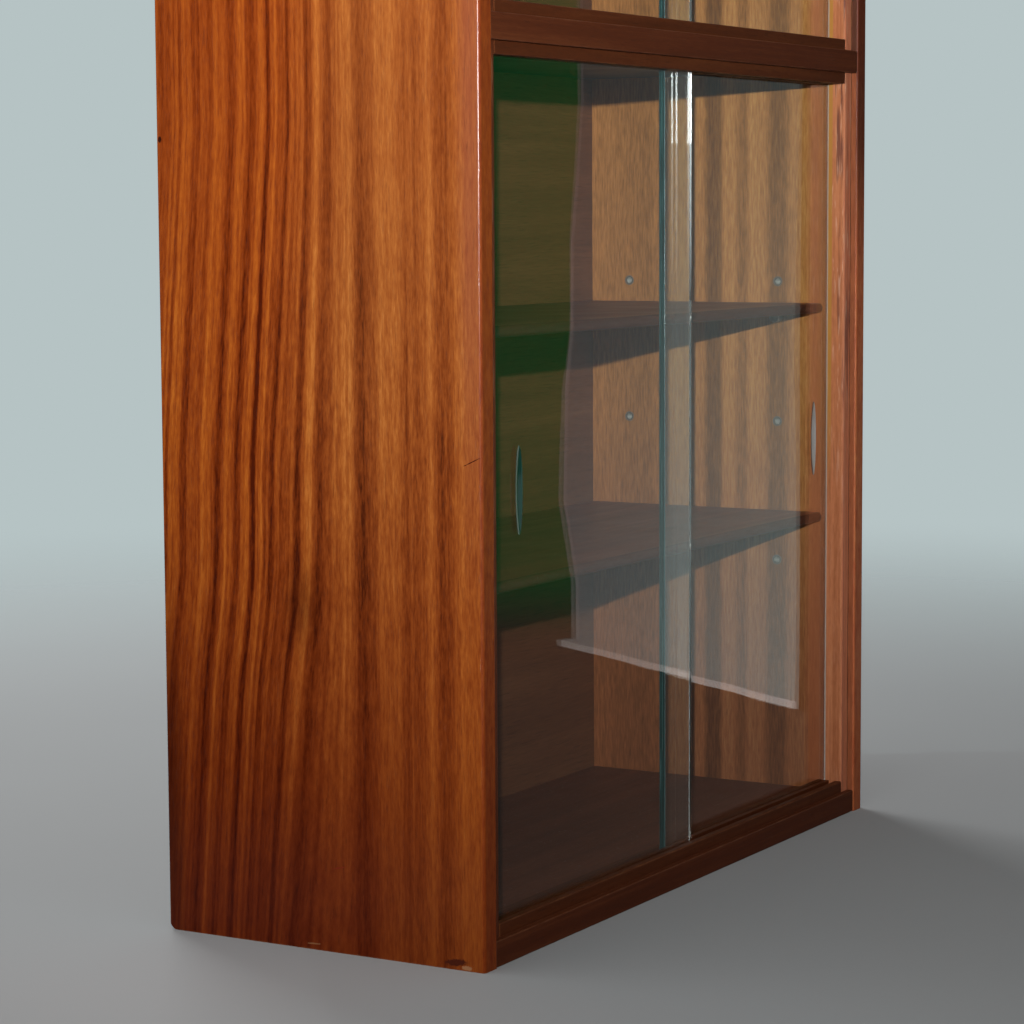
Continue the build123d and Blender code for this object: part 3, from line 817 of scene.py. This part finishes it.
# where old, wavy glass shows the edge of the green screen: height, and how far it swings out
greenWave = [(0.032, 0.009), (0.11, 0.009), (0.16, 0.002), (0.22, -0.007), (0.38, -0.005), (0.45, 0.001),
             (0.57, 0.002), (0.66, 0.010), (0.76, 0.017), (1.7, 0.013)]
greenFoot = [(0.0, -0.011), (0.030, -0.011)]
screenLook = {
    "greenScreen": {"ends": [(1.108, -0.874), (0.71, -1.57)], "edges": (0.0, 1.7),
                    "shades": [(0.008, 0.15, 0.045, 1.0)] * 2, "levels": evenLevels,
                    "foot": ((0.02, 0.14), (0.055, 0.05, 0.045, 1.0)), "wave": greenFoot + greenWave},
    "rimScreen": {"ends": [(1.1113, -0.8712), (1.0933, -0.9027)], "edges": (0.032, 1.7),
                  "shades": [(1.0, 0.92, 0.88, 1.0)] * 2, "wave": greenWave,
                  "levels": [(0.0, 0.46, 0.46), (0.9, 0.26, 0.26)]},
    "paleScreen": {"ends": [(1.28, -1.043), (0.896, -0.41)], "edges": (0.0, 1.7),
                   "shades": [(0.89, 0.95, 0.95, 1.0), (0.82, 0.98, 0.94, 1.0)],
                   "levels": [(0.0, 0.31, 0.53), (0.9, 0.11, 0.14)]},
    "lineScreen": {"ends": [(1.277, -1.045), (0.893, -0.412)], "edges": (0.0, 0.011),
                   "shades": [(1.0, 0.94, 0.90, 1.0)] * 2,
                   "levels": [(0.0, 0.45, 1.0), (0.9, 0.45, 1.0)]},
    "postScreen": {"ends": [(0.896, -0.41), (0.70, -0.09)], "edges": (0.0, 1.7), "shades": darkShades,
                   "levels": evenLevels},
    "sideScreen": {"ends": [(-0.80, -0.20), (-0.80, 0.90)], "edges": (0.0, 1.7), "shades": darkShades,
                   "levels": evenLevels},
    "lampGlint": {"ends": lampEnds, "edges": (0.735, 0.865), "shades": lampShades,
                  "levels": [(0.735, 30.0, 30.0), (0.865, 30.0, 30.0)]},
    "lampGlow": {"ends": lampEnds, "edges": (0.45, 0.735), "shades": lampShades,
                 "levels": [(0.45, 0.2, 0.2), (0.735, 3.0, 3.0)]},
}
floorSheet = {
    "corners": [(0.30, 0.56, 0.002), (-0.60, -0.16, 0.002), (-0.60, -2.6, 0.002), (2.225, -2.6, 0.002)],
    "ends": [(0.30, 0.56), (2.225, -2.6)],
    "shades": [(0.06, 0.055, 0.05, 1.0)] * 2,
    "levels": evenLevels,
}
cameraLook = {
    "place": (-2.3922, -1.3504, 0.6133),
    "yaw": 59.91,
    "pitch": 5.809,
    "roll": -0.315,
    "lens": 103.83,
    "sensor": 36.0,
}


def paleFloor():
    bm = bmesh.new()
    look = stageLook
    bmesh.ops.create_circle(bm, cap_ends=True, segments=look["floorSteps"], radius=look["floorRadius"])
    material, tree, shader, out = newMaterial("paleFloor", Roughness=look["floorRough"])
    place, axes = objectPlace(tree)
    rates, lift = look["floorMottle"]
    mottle = grainNoise(tree, place, rates)
    tone = tint(look["floor"])
    paler = [min(1.0, lift * v) for v in tone[:3]] + [1.0]
    seen = put(tree, "ShaderNodeLightPath").outputs["Is Camera Ray"]
    dimmed = [look["floorBounce"] * v for v in tone[:3]] + [1.0]
    colour = blendTint(tree, seen, dimmed, blendTint(tree, mottle, tone, paler))
    tree.links.new(colour, shader.inputs["Base Color"])
    flat = put(tree, "ShaderNodeCombineXYZ", {0: axes["X"], 1: axes["Y"]}).outputs[0]
    reach = put(tree, "ShaderNodeVectorMath", {0: flat}, operation="LENGTH").outputs["Value"]
    gone = fade(tree, reach, *look["floorFade"])
    clear = put(tree, "ShaderNodeBsdfTransparent")
    mix = put(tree, "ShaderNodeMixShader", {0: gone, 1: shader.outputs[0], 2: clear.outputs[0]})
    tree.links.new(mix.outputs[0], out.inputs["Surface"])
    floor = toObject(bm, "paleFloor", [material])


def screenCorners(look):
    first, last = (Vector((x, y, 0.0)) for x, y in look["ends"])
    foot, top = look["edges"]
    out = (first - last).normalized()
    wave = look.get("wave", [(foot, 0.0), (top, 0.0)])
    edge = [first + out * reach + Vector((0.0, 0.0, height)) for height, reach in wave]
    return [last + Vector((0.0, 0.0, top)), last + Vector((0.0, 0.0, foot))] + edge


def mirrorScreen(name, look, corners):
    bm = bmesh.new()
    bm.faces.new([bm.verts.new(corner) for corner in corners])
    material, tree, shader, out = newMaterial(name)
    place, axes = objectPlace(tree)
    (firstEnd, y), (lastEnd, y) = look["ends"]
    run = 0.5
    if firstEnd != lastEnd:
        limits = {"Value": axes["X"], "From Min": firstEnd, "From Max": lastEnd}
        run = put(tree, "ShaderNodeMapRange", limits).outputs[0]
    low, high = look["levels"]
    rises = []
    for n in (1, 2):
        limits = {"Value": axes["Z"], "From Min": low[0], "From Max": high[0]}
        limits.update({"To Min": low[n], "To Max": high[n]})
        rises.append(put(tree, "ShaderNodeMapRange", limits).outputs[0])
    strength = put(tree, "ShaderNodeMix", {0: run, 2: rises[0], 3: rises[1]}).outputs[0]
    colour = blendTint(tree, run, look["shades"][0], look["shades"][1])
    if "foot" in look:
        (start, end), shade = look["foot"]
        colour = blendTint(tree, fade(tree, axes["Z"], start, end), shade, colour)
    glow = put(tree, "ShaderNodeEmission", {"Color": colour, "Strength": strength})
    tree.links.new(glow.outputs[0], out.inputs["Surface"])
    screen = toObject(bm, name, [material])
    screen.visible_camera = False
    screen.visible_diffuse = False
    screen.visible_shadow = False


def addLamp(name, look):
    data = bpy.data.lights.new(name, "AREA")
    data.shape = "SQUARE"
    data.size = look["size"]
    data.energy = look["power"]
    data.spread = math.radians(look["spread"])
    lamp = bpy.data.objects.new(name, data)
    lamp.location = look["place"]
    aim = Vector(look["aim"]) - Vector(look["place"])
    lamp.rotation_euler = aim.to_track_quat("-Z", "Y").to_euler()
    bpy.context.scene.collection.objects.link(lamp)
    lamp.visible_camera = False


def paleWorld():
    world = bpy.data.worlds.new("paleStudio")
    bpy.context.scene.world = world
    world.use_nodes = True
    tree = world.node_tree
    tree.nodes.clear()
    path = put(tree, "ShaderNodeLightPath").outputs
    seen = calc(tree, "MAXIMUM", path["Is Camera Ray"], path["Is Glossy Ray"])
    seen = calc(tree, "MAXIMUM", seen, path["Is Transmission Ray"])
    limits = {"Value": seen, "To Min": stageLook["ambient"], "To Max": 1.0}
    strength = put(tree, "ShaderNodeMapRange", limits).outputs[0]
    colour = blendTint(tree, seen, (1.0, 1.0, 1.0, 1.0), tint(stageLook["world"]))
    background = put(tree, "ShaderNodeBackground", {"Color": colour, "Strength": strength})
    put(tree, "ShaderNodeOutputWorld", {"Surface": background.outputs[0]})


def addCamera():
    data = bpy.data.cameras.new("camera")
    data.lens = cameraLook["lens"]
    data.sensor_width = cameraLook["sensor"]
    camera = bpy.data.objects.new("camera", data)
    yaw, pitch, roll = (math.radians(cameraLook[k]) for k in ("yaw", "pitch", "roll"))
    turn = Matrix.Rotation(-yaw, 4, "Z") @ Matrix.Rotation(math.pi / 2 - pitch, 4, "X")
    turn = turn @ Matrix.Rotation(roll, 4, "Z")
    camera.matrix_world = Matrix.Translation(cameraLook["place"]) @ turn
    bpy.context.scene.collection.objects.link(camera)
    bpy.context.scene.camera = camera


paleFloor()
for name, look in screenLook.items():
    mirrorScreen(name, look, screenCorners(look))
mirrorScreen("floorSheet", floorSheet, floorSheet["corners"])
for name, look in lampLook.items():
    addLamp(name, look)
paleWorld()
addCamera()
bpy.context.scene.view_settings.view_transform = "Standard"
print("stage set")
